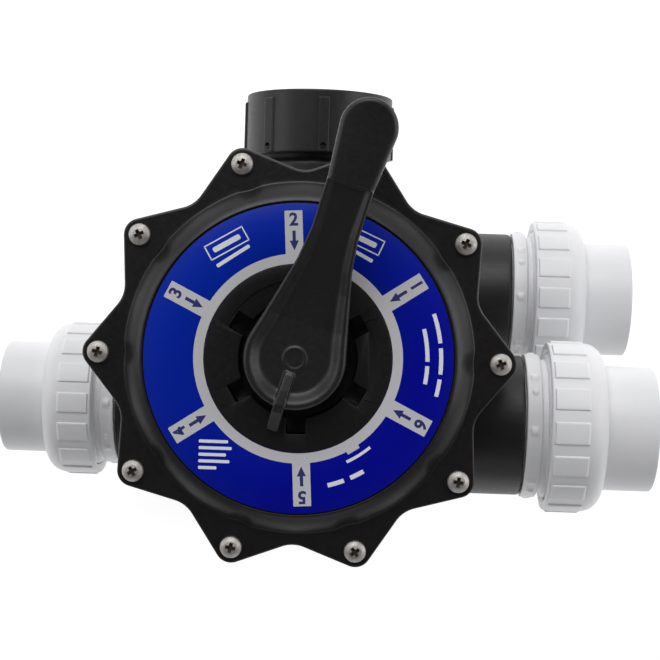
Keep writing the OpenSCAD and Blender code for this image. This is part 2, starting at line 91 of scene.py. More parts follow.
# Shape of the cover and its label, in millimetres
LOBES = 10              # one round each screw
LOBE_R = 9.0
HOLLOW_R = 17.0         # round hollow between two lobes
HOLLOW_AT = 120.0       # its centre's distance from the axis
SHOULDER_R = 96.0       # foot of the raised plateau
LABEL_RI = 51.4
LABEL_T = 0.5
LABEL_TURN = math.radians(3.5)
WELL_R = 32.4           # well for the handle, with its six locking notches
NOTCHES = 6
NOTCH_END = 41.0
NOTCH_W = 10.8


def port_matrix(axis, origin_mm):
    """Local +Z along a port's axis, local +X straight up, zero at origin_mm."""
    z = Vector(axis).normalized()
    x = Vector((0, 0, 1))
    y = z.cross(x)
    turn = Matrix((x, y, z)).transposed().to_4x4()
    return Matrix.Translation(Vector(origin_mm) * MM) @ turn


def union_matrix(side):
    """Frame of a side port, with its zero at the end of the barrel."""
    turn = joint(f"{side}_nut_turn")
    axis = Vector(turn["axis"])
    low, high = box_mm(f"{side}_union_body")
    centre = (low + high) / 2
    end = low[0] + SPIGOT if axis.x > 0 else high[0] - SPIGOT
    return port_matrix(axis, (end, centre[1], centre[2]))


# ---------------------------------------------------------------- mesh helpers

def new_object(name, verts, faces):
    """A mesh object from points in metres."""
    mesh = bpy.data.meshes.new(name)
    mesh.from_pydata([tuple(v) for v in verts], [], faces)
    mesh.validate()
    obj = bpy.data.objects.new(name, mesh)
    bpy.context.scene.collection.objects.link(obj)
    return obj


def smooth(obj, angle=38.0):
    """Smooth shading, with edges sharper than angle left crisp, and faces turned outwards."""
    bm = bmesh.new()
    bm.from_mesh(obj.data)
    bmesh.ops.recalc_face_normals(bm, faces=bm.faces)
    limit = math.radians(angle)
    for face in bm.faces:
        face.smooth = True
    for edge in bm.edges:
        edge.smooth = len(edge.link_faces) == 2 and edge.calc_face_angle(0.0) < limit
    bm.to_mesh(obj.data)
    bm.free()
    return obj


def rounded(points, radius=0.6, steps=4):
    """Closed outline with its corners rounded. A point may carry its own radius as a third number."""
    out = []
    count = len(points)
    for i in range(count):
        here = np.array(points[i][:2], float)
        before = np.array(points[i - 1][:2], float) - here
        after = np.array(points[(i + 1) % count][:2], float) - here
        r = points[i][2] if len(points[i]) > 2 else radius
        la, lb = np.linalg.norm(before), np.linalg.norm(after)
        a, b = before / la, after / lb
        angle = math.acos(max(-1.0, min(1.0, float(a @ b))))
        if r <= 0 or angle > math.pi - 0.08:
            out.append(here)
            continue
        back = min(r / math.tan(angle / 2), 0.46 * la, 0.46 * lb)
        r = back * math.tan(angle / 2)
        middle = here + (a + b) / np.linalg.norm(a + b) * r / math.sin(angle / 2)
        start, end = here + a * back - middle, here + b * back - middle
        sweep = math.pi - angle
        for k in range(steps + 1):
            t = k / steps
            mix = (math.sin((1 - t) * sweep) * start + math.sin(t * sweep) * end) / math.sin(sweep)
            out.append(middle + mix)
    return np.array(out)


def dense(outline, step):
    """The same closed outline with its long sides cut into pieces no longer than step."""
    out = []
    for i, p in enumerate(outline):
        q = outline[(i + 1) % len(outline)]
        pieces = max(1, math.ceil(np.linalg.norm(q - p) / step))
        out += [p + (q - p) * k / pieces for k in range(pieces)]
    return np.array(out)


def revolve(name, section, steps=160, place=Matrix(), relief=None):
    """Turns a closed (radius, height) outline about local Z. relief(angle, r, z) moves points outwards."""
    section = np.asarray(section, float)
    angles = np.arange(steps) * TAU / steps
    a, r = np.meshgrid(angles, section[:, 0], indexing="ij")
    z = np.broadcast_to(section[:, 1], r.shape)
    if relief is not None:
        r = r + relief(a, r, z)
    points = np.stack([r * np.cos(a), r * np.sin(a), z], -1).reshape(-1, 3) * MM
    points = points @ np.array(place.to_3x3()).T + np.array(place.translation)
    n = len(section)
    faces = [
        (i * n + k, ((i + 1) % steps) * n + k, ((i + 1) % steps) * n + (k + 1) % n, i * n + (k + 1) % n)
        for i in range(steps)
        for k in range(n)
    ]
    return smooth(new_object(name, points, faces))


def prism(name, outline, low, high, place=Matrix()):
    """Straight extrusion of a closed outline in X and Y."""
    n = len(outline)
    points = [place @ Vector((p[0] * MM, p[1] * MM, z * MM)) for z in (low, high) for p in outline]
    faces = [tuple(range(n))[::-1], tuple(range(n, 2 * n))]
    faces += [(k, (k + 1) % n, n + (k + 1) % n, n + k) for k in range(n)]
    return smooth(new_object(name, points, faces))


def loft(name, rings, place=Matrix()):
    """Skin over rings of the same number of points, closed at both ends."""
    n = len(rings[0])
    points = [place @ (Vector(p) * MM) for ring in rings for p in ring]
    faces = [
        (i * n + k, i * n + (k + 1) % n, (i + 1) * n + (k + 1) % n, (i + 1) * n + k)
        for i in range(len(rings) - 1)
        for k in range(n)
    ]
    last = (len(rings) - 1) * n
    faces += [tuple(range(n))[::-1], tuple(range(last, last + n))]
    return smooth(new_object(name, points, faces))


def settle(obj):
    """Turns the object's modifiers into its mesh."""
    graph = bpy.context.evaluated_depsgraph_get()
    graph.update()
    mesh = bpy.data.meshes.new_from_object(obj.evaluated_get(graph))
    obj.modifiers.clear()
    obj.data = mesh
    return obj


def cut(obj, cutter, operation="DIFFERENCE"):
    """Boolean of two meshes; the cutter is used up."""
    mod = obj.modifiers.new("cut", "BOOLEAN")
    mod.operation = operation
    mod.solver = "EXACT"
    mod.object = cutter
    settle(obj)
    bpy.data.objects.remove(cutter)
    return obj


def join(name, parts):
    """One object from several, keeping each one's materials."""
    bm = bmesh.new()
    materials = []
    for part in parts:
        offset = len(bm.faces)
        bm.from_mesh(part.data)
        bm.faces.ensure_lookup_table()
        slots = [slot.material for slot in part.material_slots]
        for face in bm.faces[offset:]:
            material = slots[face.material_index] if slots else None
            if material not in materials:
                materials.append(material)
            face.material_index = materials.index(material)
    mesh = bpy.data.meshes.new(name)
    bm.to_mesh(mesh)
    bm.free()
    for part in parts:
        bpy.data.objects.remove(part)
    for material in materials:
        mesh.materials.append(material)
    obj = bpy.data.objects.new(name, mesh)
    bpy.context.scene.collection.objects.link(obj)
    return obj


def weld(obj):
    """Merges points that coincide, such as those of a revolved outline on its axis."""
    bm = bmesh.new()
    bm.from_mesh(obj.data)
    bmesh.ops.remove_doubles(bm, verts=bm.verts, dist=0.00001)
    bm.to_mesh(obj.data)
    bm.free()


def soften(obj, voxel, rounds):
    """Remeshes at voxel millimetres and relaxes, which rounds every edge as a mould does."""
    mod = obj.modifiers.new("remesh", "REMESH")
    mod.mode = "VOXEL"
    mod.voxel_size = voxel * MM
    mod.use_smooth_shade = True
    mod = obj.modifiers.new("relax", "SMOOTH")
    mod.factor = 0.5
    mod.iterations = rounds
    settle(obj)
    for face in obj.data.polygons:
        face.use_smooth = True
    return obj


def step_up(x, edge, width):
    """0 below edge and 1 above it, blended over width."""
    t = np.clip((x - edge) / width + 0.5, 0, 1)
    return t * t * (3 - 2 * t)


def dress(obj, material, body, slot, *nodes):
    """Gives a piece its material and its body, and hides the CAD nodes that it stands for. Its slot argument is
    not used.
    """
    if material is not None:
        obj.data.materials.clear()
        obj.data.materials.append(material)
    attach(obj, body)
    if nodes:
        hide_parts(*nodes)
    return obj


# ---------------------------------------------------------------- materials

def material_base(name, colour, roughness, metallic=0.0):
    material = bpy.data.materials.new(name)
    material.use_nodes = True
    nodes = material.node_tree.nodes
    shader = nodes["Principled BSDF"]
    shader.inputs["Base Color"].default_value = (*colour, 1)
    shader.inputs["Roughness"].default_value = roughness
    shader.inputs["Metallic"].default_value = metallic
    coords = nodes.new("ShaderNodeTexCoord")
    return material, nodes, material.node_tree.links, shader, coords.outputs["Object"]


def noise(nodes, links, coords, scale, detail=3.0, roughness=0.55, distortion=0.0):
    node = nodes.new("ShaderNodeTexNoise")
    node.inputs["Scale"].default_value = scale
    node.inputs["Detail"].default_value = detail
    node.inputs["Roughness"].default_value = roughness
    node.inputs["Distortion"].default_value = distortion
    links.new(coords, node.inputs["Vector"])
    return node.outputs["Fac"]


def spread(nodes, links, value, low, high, from_low=0.3, from_high=0.7):
    """Maps a noise value to a range."""
    node = nodes.new("ShaderNodeMapRange")
    node.inputs["From Min"].default_value = from_low
    node.inputs["From Max"].default_value = from_high
    node.inputs["To Min"].default_value = low
    node.inputs["To Max"].default_value = high
    links.new(value, node.inputs["Value"])
    return node.outputs["Result"]


def blend_colour(nodes, links, value, first, second):
    node = nodes.new("ShaderNodeMix")
    node.data_type = "RGBA"
    node.inputs["A"].default_value = (*first, 1)
    node.inputs["B"].default_value = (*second, 1)
    links.new(value, node.inputs["Factor"])
    return node.outputs["Result"]


def bump(nodes, links, height, shader, strength, distance, before=None):
    node = nodes.new("ShaderNodeBump")
    node.inputs["Strength"].default_value = strength
    node.inputs["Distance"].default_value = distance
    links.new(height, node.inputs["Height"])
    if before is not None:
        links.new(before, node.inputs["Normal"])
    links.new(node.outputs["Normal"], shader.inputs["Normal"])
    return node.outputs["Normal"]


def moulded_plastic(name, colour, dusty, roughness, grain=2600.0, grain_depth=0.00002, swing=0.08):
    """Moulded plastic: faint cloudy colour, uneven gloss, fine grain and a slow waviness."""
    material, nodes, links, shader, coords = material_base(name, colour, roughness)
    cloud = noise(nodes, links, coords, 24.0, 5.0, 0.6, 0.4)
    speck = noise(nodes, links, coords, 420.0, 4.0, 0.7)
    colour_out = blend_colour(nodes, links, spread(nodes, links, cloud, 0, 1), colour, dusty)
    links.new(colour_out, shader.inputs["Base Color"])
    rough = spread(nodes, links, speck, roughness - swing / 2, roughness + swing)
    links.new(rough, shader.inputs["Roughness"])
    wave = bump(nodes, links, noise(nodes, links, coords, 60.0, 2.0), shader, 0.25, 0.0002)
    fine = noise(nodes, links, coords, grain, 2.0)
    bump(nodes, links, fine, shader, 0.35, grain_depth, wave)
    return material


def printed_foil(name, colour, second, roughness, metallic=0.0):
    """Printed label: even ink with faint mottling and small scuffs in its gloss."""
    material, nodes, links, shader, coords = material_base(name, colour, roughness, metallic)
    cloud = noise(nodes, links, coords, 18.0, 4.0, 0.55)
    links.new(
        blend_colour(nodes, links, spread(nodes, links, cloud, 0, 1), colour, second),
        shader.inputs["Base Color"],
    )
    scuff = noise(nodes, links, coords, 300.0, 6.0, 0.75, 1.5)
    links.new(spread(nodes, links, scuff, roughness - 0.04, roughness + 0.1), shader.inputs["Roughness"])
    bump(nodes, links, noise(nodes, links, coords, 900.0, 2.0), shader, 0.15, 0.00002)
    return material


def dial_blue():
    """Blue foil of the dial, a little lighter and greener towards the upper left."""
    material, nodes, links, shader, coords = material_base("label_blue", (0.001, 0.01, 0.3), 0.28)
    split = nodes.new("ShaderNodeSeparateXYZ")
    links.new(coords, split.inputs["Vector"])
    across = nodes.new("ShaderNodeMath")
    across.operation = "SUBTRACT"
    links.new(split.outputs["Y"], across.inputs[0])
    links.new(split.outputs["X"], across.inputs[1])
    cloud = noise(nodes, links, coords, 14.0, 4.0, 0.55)
    total = nodes.new("ShaderNodeMath")
    total.operation = "MULTIPLY_ADD"
    links.new(cloud, total.inputs[0])
    total.inputs[1].default_value = 0.03
    links.new(across.outputs["Value"], total.inputs[2])
    mix = spread(nodes, links, total.outputs["Value"], 0, 1, -0.05, 0.13)
    links.new(
        blend_colour(nodes, links, mix, (0.0005, 0.003, 0.31), (0.0005, 0.024, 0.40)),
        shader.inputs["Base Color"],
    )
    scuff = noise(nodes, links, coords, 300.0, 6.0, 0.75, 1.5)
    links.new(spread(nodes, links, scuff, 0.27, 0.31), shader.inputs["Roughness"])
    shader.inputs["Specular IOR Level"].default_value = 0.25
    bump(nodes, links, noise(nodes, links, coords, 900.0, 2.0), shader, 0.06, 0.00002)
    return material


def stainless(name, colour, roughness):
    """Bright stainless steel with turning marks and slight tarnish."""
    material, nodes, links, shader, coords = material_base(name, colour, roughness, 1.0)
    tarnish = noise(nodes, links, coords, 260.0, 5.0, 0.65)
    dark = tuple(c * 0.62 for c in colour)
    links.new(
        blend_colour(nodes, links, spread(nodes, links, tarnish, 0, 1, 0.4, 0.75), colour, dark),
        shader.inputs["Base Color"],
    )
    fine = noise(nodes, links, coords, 1800.0, 3.0, 0.6)
    links.new(spread(nodes, links, fine, roughness - 0.08, roughness + 0.14), shader.inputs["Roughness"])
    bump(nodes, links, fine, shader, 0.3, 0.00003)
    return material


def rubber(name):
    material, nodes, links, shader, coords = material_base(name, (0.018, 0.018, 0.018), 0.7)
    fine = noise(nodes, links, coords, 1500.0, 3.0, 0.6)
    links.new(spread(nodes, links, fine, 0.6, 0.8), shader.inputs["Roughness"])
    bump(nodes, links, fine, shader, 0.4, 0.00004)
    return material


MATERIALS = {
    "body_plastic": moulded_plastic(
        "body_black", (0.008, 0.0068, 0.0072), (0.0115, 0.0102, 0.0106), 0.42),
    "cover_plastic": moulded_plastic(
        "cover_black", (0.007, 0.0058, 0.0062), (0.0098, 0.0082, 0.0086), 0.33, grain_depth=0.00001),
    "handle_plastic": moulded_plastic(
        "handle_black", (0.0098, 0.0084, 0.009), (0.0138, 0.012, 0.0128), 0.37),
    "adapter_plastic": moulded_plastic(
        "adapter_black", (0.0098, 0.0082, 0.0095), (0.0135, 0.012, 0.013), 0.38),
    "rotor_plastic": moulded_plastic("rotor_grey", (0.05, 0.05, 0.053), (0.07, 0.07, 0.072), 0.45),
    "white_pvc": moulded_plastic(
        "white_pvc", (0.84, 0.84, 0.86), (0.80, 0.805, 0.825), 0.38, grain=1400.0, grain_depth=0.000012),
    "label_blue": dial_blue(),
    "label_silver": printed_foil("label_silver", (0.63, 0.63, 0.66), (0.58, 0.58, 0.59), 0.36),
    "label_ink": printed_foil("label_ink", (0.02, 0.025, 0.16), (0.03, 0.035, 0.2), 0.4),
    "stainless": stainless("stainless_steel", (0.57, 0.545, 0.515), 0.52),
    # Dark brown for the screw recesses: part grime, part painted shade in the hollow
    "dirt_and_painted_shade": stainless("recess_dirt_and_painted_shade", (0.21, 0.175, 0.15), 0.65),
    "label_white": printed_foil("label_white", (0.88, 0.9, 0.94), (0.8, 0.83, 0.9), 0.4),
    "rubber": rubber("black_rubber"),
}


# ---------------------------------------------------------------- body

def make_body():
    """Body casing: the CAD solid remeshed, with its edges and the roots of its barrels rounded.

    Relaxing can push a point just past the solid's box, so the points are held inside it.
    """
    inset = 0.01
    solid = frame["nodes"]["valve_body"]
    casing = bpy.data.objects.new("body_casing", solid.data.copy())
    casing.matrix_world = solid.matrix_world.copy()
    bpy.context.scene.collection.objects.link(casing)
    soften(casing, 1.1, 7)
    thin = casing.modifiers.new("thin", "DECIMATE")
    thin.ratio = 0.3
    settle(casing)
    low, high = box_mm("valve_body")
    for vertex in casing.data.vertices:
        vertex.co = [min(max(c, a * MM), b * MM) for c, a, b in zip(vertex.co, low + inset, high - inset)]
    for face in casing.data.polygons:
        face.use_smooth = True
    dress(casing, MATERIALS["body_plastic"], "housing", "body_plastic", "valve_body")


def make_spring():
    """Steel spring with closed ends."""
    low, high = box_mm("spring")
    middle, turns, sides = 20.5, 7, 16
    closed, closed_rise = 0.8, 1.75     # end turns lie nearly flat, and rise this many wire radii
    wire = (high[0] - low[0]) / 2 - middle
    bottom, top = low[2] + wire, high[2] - wire
    turn = np.linspace(0, turns, turns * 60 + 1)
    level = np.interp(turn, [0, closed, turns - closed, turns],
                      [bottom, bottom + closed_rise * wire, top - closed_rise * wire, top])
    a = turn * TAU
    points = []
    for b in np.arange(sides) * TAU / sides:
        r = middle + wire * np.cos(b)
        points.append(np.stack([r * np.cos(a), r * np.sin(a), level + wire * np.sin(b)], -1))
    points = np.array(points).transpose(1, 0, 2)
    n = len(turn)
    faces = [
        (k * sides + i, k * sides + (i + 1) % sides, (k + 1) * sides + (i + 1) % sides, (k + 1) * sides + i)
        for k in range(n - 1)
        for i in range(sides)
    ]
    faces += [tuple(range(sides)), tuple((n - 1) * sides + i for i in range(sides))]
    spring = smooth(new_object("return_spring", points.reshape(-1, 3) * MM, faces), 50)
    dress(spring, MATERIALS["stainless"], "housing", "stainless", "spring")
    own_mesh(spring)


# ---------------------------------------------------------------- cover

def star_radius(angles):
    """Radius of the lobed outline at each angle: round tips, straight flanks, round hollows."""
    pitch = TAU / LOBES
    a = np.abs((np.asarray(angles) + pitch / 2) % pitch - pitch / 2)
    hollow = np.array([HOLLOW_AT * math.cos(pitch / 2), HOLLOW_AT * math.sin(pitch / 2)])
    reach = hollow - np.array([BOLT_R, 0.0])
    length = np.linalg.norm(reach)
    tilt = math.acos((LOBE_R + HOLLOW_R) / length)
    ux, uy = reach / length
    out = np.array([ux * math.cos(tilt) + uy * math.sin(tilt), -ux * math.sin(tilt) + uy * math.cos(tilt)])
    leave = np.array([BOLT_R, 0.0]) + LOBE_R * out
    arrive = hollow - HOLLOW_R * out
    tip = BOLT_R * np.cos(a) + np.sqrt(np.maximum(LOBE_R**2 - (BOLT_R * np.sin(a)) ** 2, 0))
    b = pitch / 2 - a
    valley = HOLLOW_AT * np.cos(b) - np.sqrt(np.maximum(HOLLOW_R**2 - (HOLLOW_AT * np.sin(b)) ** 2, 0))
    side = arrive - leave
    flank = (leave[0] * side[1] - leave[1] * side[0]) / (np.cos(a) * side[1] - np.sin(a) * side[0])
    first = math.atan2(leave[1], leave[0])
    second = math.atan2(arrive[1], arrive[0])
    return np.where(a < first, tip, np.where(a < second, flank, valley))


def star_slab(name, rows, steps=1080):
    """Ring-shaped slab from rows of (radius, inset, z).

    A row with no radius follows the lobed outline, pulled in by inset. A row with a radius is round,
    and inset is how far it goes over to the lobed outline, from 0 to 1.
    """
    angles = np.arange(steps) * TAU / steps
    outline = star_radius(angles)
    screws = np.round(angles / (TAU / LOBES)) * (TAU / LOBES)
    rings = []
    for radius, inset, z in rows:
        r = outline - inset if radius is None else np.full(steps, float(radius))
        if radius is not None and inset:
            r = radius + (outline - radius) * inset
        x, y = r * np.cos(angles), r * np.sin(angles)
        rings.append(np.stack([x, y, np.full(steps, float(z))], -1))
    points = np.array(rings)
    # Driver clearance: a soft dent in the shoulder beside each screw
    dent_at, dent_r, dent = SHOULDER_R - 1.0, 7.5, 0.9
    gap = np.hypot(points[..., 0] - dent_at * np.cos(screws), points[..., 1] - dent_at * np.sin(screws))
    depth = dent * np.maximum(1 - (gap / dent_r) ** 2, 0) ** 2
    dented = np.maximum(points[..., 2] - depth, LID_Z)
    points[..., 2] = np.where(points[..., 2] > LID_Z, dented, points[..., 2])
    n = len(rows)
    faces = [
        (k * steps + i, k * steps + (i + 1) % steps, ((k + 1) % n) * steps + (i + 1) % steps,
         ((k + 1) % n) * steps + i)
        for k in range(n)
        for i in range(steps)
    ]
    return smooth(new_object(name, points.reshape(-1, 3) * MM, faces), 50)


def make_cover():
    """Cover: a lobed shell with a coned shoulder, joined to a centre disc with a well and notches."""
    edge = 1.3                          # rounding of the rim
    groove = TOP_Z - LABEL_T - 0.7      # floor of the fine groove round the label
    brow = LABEL_RO + 1.2
    slope_rows = 24
    rows = [(LABEL_RI - 0.3, 0, TOP_Z - LABEL_T), (LABEL_RO + 0.05, 0, TOP_Z - LABEL_T)]
    rows += [(LABEL_RO + 0.1, 0, groove), (LABEL_RO + 0.85, 0, groove), (LABEL_RO + 0.9, 0, TOP_Z - 0.3)]
    rows += [(LABEL_RO + 1.0, 0, TOP_Z - 0.08), (brow, 0, TOP_Z)]
    wide, high = SHOULDER_R - brow, TOP_Z - LID_Z
    for k in range(1, slope_rows + 1):
        t = k / slope_rows
        rows.append((brow + wide * t, 0, LID_Z + 0.3 + (high - 0.3) * (1 - t ** 1.4)))
    rows += [(SHOULDER_R + 0.4, 0, LID_Z + 0.1), (SHOULDER_R + 1.0, 0, LID_Z)]
    rows += [(SHOULDER_R + 1.0, t, LID_Z) for t in (0.15, 0.35, 0.6)]
    rows += [(None, 2.2, LID_Z)]
    for k in range(5):
        a = math.radians(90 * k / 4)
        rows.append((None, edge * (1 - math.sin(a)), LID_Z - edge * (1 - math.cos(a))))
    rows += [(None, 0, SEAT_Z + 0.9), (None, 0.5, SEAT_Z + 0.3), (None, 1.0, SEAT_Z + 0.25)]
    rows += [(SHOULDER_R - 10, 0, SEAT_Z + 0.25), (LABEL_RI - 0.3, 0, SEAT_Z + 0.25)]
    shell = star_slab("cover_shell", rows)

    # Centre disc: the well for the handle, the locking notches and a shallow step
    bore = 10.05
    boss_r = 15.5
    boss_z = box_mm("cover")[0][2]
    disc = revolve("cover_disc", rounded([
        (bore, WELL_Z, 0.3), (WELL_R, WELL_Z, 0.8), (WELL_R, TOP_Z, 0.5),
        (LABEL_RI - 0.3, TOP_Z, 0.25), (LABEL_RI - 0.3, SEAT_Z, 0.2), (boss_r, SEAT_Z - 2, 0.5),
        (boss_r, boss_z, 0.6), (bore, boss_z, 0.3)]), 192)
    half = NOTCH_W / 2
    for k in range(NOTCHES):
        notch = rounded([(WELL_R - 4, -half, 0), (NOTCH_END, -half, 0.9), (NOTCH_END, half, 0.9),
                         (WELL_R - 4, half, 0)], 0)
        turn = Matrix.Rotation(math.radians(30 + 60 * k), 4, "Z")
        cut(disc, prism("cutter", notch, WELL_Z + 0.1, TOP_Z + 5, turn))
    step_r, step_deep = 42.6, 0.7
    for start in (-30, 90):
        inner = [(WELL_R - 3, start + 9), (WELL_R - 3, start + 51)]
        outer = [(step_r, a) for a in np.linspace(start + 60, start, 24)]
        step = [(r * math.cos(math.radians(a)), r * math.sin(math.radians(a))) for r, a in inner + outer]
        cut(disc, prism("cutter", step, TOP_Z - step_deep, TOP_Z + 5))
    bevel = disc.modifiers.new("edge", "BEVEL")
    bevel.width = 0.35 * MM
    bevel.segments = 2
    bevel.limit_method = "ANGLE"
    bevel.angle_limit = math.radians(50)
    settle(disc)
    smooth(disc, 35)
    cover = join("valve_cover", [shell, disc])
    dress(cover, MATERIALS["cover_plastic"], "housing", "cover_plastic", "cover")


def flat_piece(name, outline, z, thick, material):
    obj = prism(name, outline, z, z + thick)
    obj.data.materials.append(MATERIALS[material])
    return obj


def bar(name, centre_r, angle, length, width, z, thick, material, turn=0.0):
    """Small bar with its middle at (centre_r, angle). At turn 0 its length lies across the radius."""
    corner = min(width, length) * 0.3 if material != "label_silver" else 0.3
    corners = [(-width / 2, -length / 2), (width / 2, -length / 2), (width / 2, length / 2),
               (-width / 2, length / 2)]
    outline = rounded([(x, y, corner) for x, y in corners], steps=2)
    c, s = math.cos(turn), math.sin(turn)
    outline = [(x * c - y * s, x * s + y * c) for x, y in outline]
    c, s = math.cos(angle), math.sin(angle)
    outline = [((x + centre_r) * c - y * s, (x + centre_r) * s + y * c) for x, y in outline]
    return flat_piece(name, outline, z, thick, material)


def arc_strip(name, r_in, r_out, start, end, z, thick, material, steps=120):
    angles = np.linspace(start, end, steps)
    outline = [(r_out * math.cos(a), r_out * math.sin(a)) for a in angles]
    outline += [(r_in * math.cos(a), r_in * math.sin(a)) for a in angles[::-1]]
    return flat_piece(name, outline, z, thick, material)


def numeral(text, radius, angle, size, z, material):
    """One numeral as a thin plate, its foot towards the valve axis."""
    curve = bpy.data.curves.new("numeral", "FONT")
    curve.body = text
    curve.size = size * MM
    curve.align_x = "CENTER"
    curve.align_y = "CENTER"
    curve.extrude = 0.02 * MM
    curve.offset = 0.3 * MM
    obj = bpy.data.objects.new("numeral", curve)
    bpy.context.scene.collection.objects.link(obj)
    graph = bpy.context.evaluated_depsgraph_get()
    graph.update()
    mesh = bpy.data.meshes.new_from_object(obj.evaluated_get(graph))
    bpy.data.objects.remove(obj)
    place = Matrix.Rotation(angle, 4, "Z") @ Matrix.Translation((radius * MM, 0, z * MM))
    mesh.transform(place @ Matrix.Rotation(-math.pi / 2, 4, "Z"))
    mesh.materials.clear()
    mesh.materials.append(MATERIALS[material])
    done = bpy.data.objects.new("numeral", mesh)
    bpy.context.scene.collection.objects.link(done)
    return done


def make_label():
    """Blue label with a silver ring, silver spokes with numerals, and blank bars as white print."""
    base = revolve("label_base", rounded([
        (LABEL_RI, TOP_Z - LABEL_T), (LABEL_RO, TOP_Z - LABEL_T), (LABEL_RO, TOP_Z - 0.08),
        (LABEL_RI, TOP_Z - 0.08)], 0.06, 2), 240)
    base.data.materials.append(MATERIALS["label_blue"])
    silver_z, ink_z = TOP_Z - 0.08, TOP_Z - 0.04
    foil_z, foil_t = silver_z - 0.1, 0.139
    white_z, white_t = silver_z - 0.02, 0.05
    ring_out, spoke_out, spoke_w = 57.0, 80.3, 9.7
    silver = [revolve("silver_ring", rounded([
        (LABEL_RI + 0.1, foil_z), (ring_out, foil_z), (ring_out, silver_z + 0.04),
        (LABEL_RI + 0.1, silver_z + 0.04)], 0.02, 1), 240)]
    silver[0].data.materials.append(MATERIALS["label_silver"])
    ink = []
    tip, neck, back, half, shaft = 58.6, 64.0, 69.4, 2.5, 0.9
    for k in range(NOTCHES):
        angle = math.radians(30 + 60 * k) + LABEL_TURN
        middle = (ring_out + spoke_out) / 2 - 0.3
        silver.append(bar("spoke", middle, angle, spoke_w, spoke_out - ring_out + 0.6, foil_z, foil_t,
                          "label_silver"))
        ink.append(numeral(str(k + 1), 75.2, angle, 9.6, ink_z, "label_ink"))
        c, s = math.cos(angle), math.sin(angle)
        arrow = [(tip, 0), (neck, half), (neck, shaft), (back, shaft), (back, -shaft), (neck, -shaft),
                 (neck, -half)]
        arrow = [(x * c - y * s, x * s + y * c) for x, y in arrow]
        ink.append(flat_piece("arrow", arrow, silver_z, 0.06, "label_ink"))
    # Small bump on the ring, between two spokes
    silver.append(bar("bump", ring_out + 0.4, math.radians(-57), 7.4, 2.6, foil_z, foil_t, "label_silver"))

    def white_bar(radius, angle, length, width, turn=0.0):
        return bar("line", radius, angle, length, width, white_z, white_t, "label_white", turn)

    def white_arc(radius, width, start, end):
        """Curved bar between two angles in degrees."""
        return arc_strip("line", radius - width / 2, radius + width / 2, math.radians(start),
                         math.radians(end), white_z, white_t, "label_white", 24)

    def plate(radius, angle, length, width, turn):
        """Outlined box with a bar inside."""
        line = 0.7
        sides = [(0, length / 2, width, line), (0, -length / 2, width, line),
                 (width / 2, 0, line, length + line), (-width / 2, 0, line, length + line),
                 (0, 0, width * 0.36, length * 0.72)]
        bars = []
        for dx, dy, w, l in sides:
            c, s = math.cos(turn), math.sin(turn)
            x, y = dx * c - dy * s, dx * s + dy * c
            r, a = math.hypot(radius + x, y), math.atan2(y, radius + x)
            bars.append(white_bar(r, angle + a, l, w, turn - a))
        return bars

    # Two boxes with a line below each
    white = plate(73.5, math.radians(123.5), 23, 8.2, math.radians(-3))
    white += plate(73.5, math.radians(63.0), 22, 8.2, math.radians(3))
    for angle, length in ((124.0, 21), (62.0, 18)):
        white.append(white_bar(65.8, math.radians(angle), length, 2.0))
    # A block of five level lines, all starting at the same place
    for k, length in enumerate((16, 18, 15, 17, 10)):
        x, y = length / 2 - 52.5, -46.5 - 3.6 * k
        angle = math.atan2(y, x)
        white.append(white_bar(math.hypot(x, y), angle, length, 1.7, math.pi / 2 - angle))
    # Curved lines that follow the label's edge
    for radius, width, spans in ((77.6, 2.2, ((-13.5, -6.5), (-4.5, 6), (8, 20))),
                                 (70.2, 2.2, ((-9.5, -1.5), (0.5, 15))),
                                 (70.7, 2.4, ((-75, -67.5), (-64.5, -58))),
                                 (62.0, 1.6, ((-63, -49),))):
        white += [white_arc(radius, width, start, end) for start, end in spans]
    label = join("dial_label_print", [base] + silver + ink + white)
    dress(label, None, "housing", "label_blue", "dial_label")


# ---------------------------------------------------------------- screws

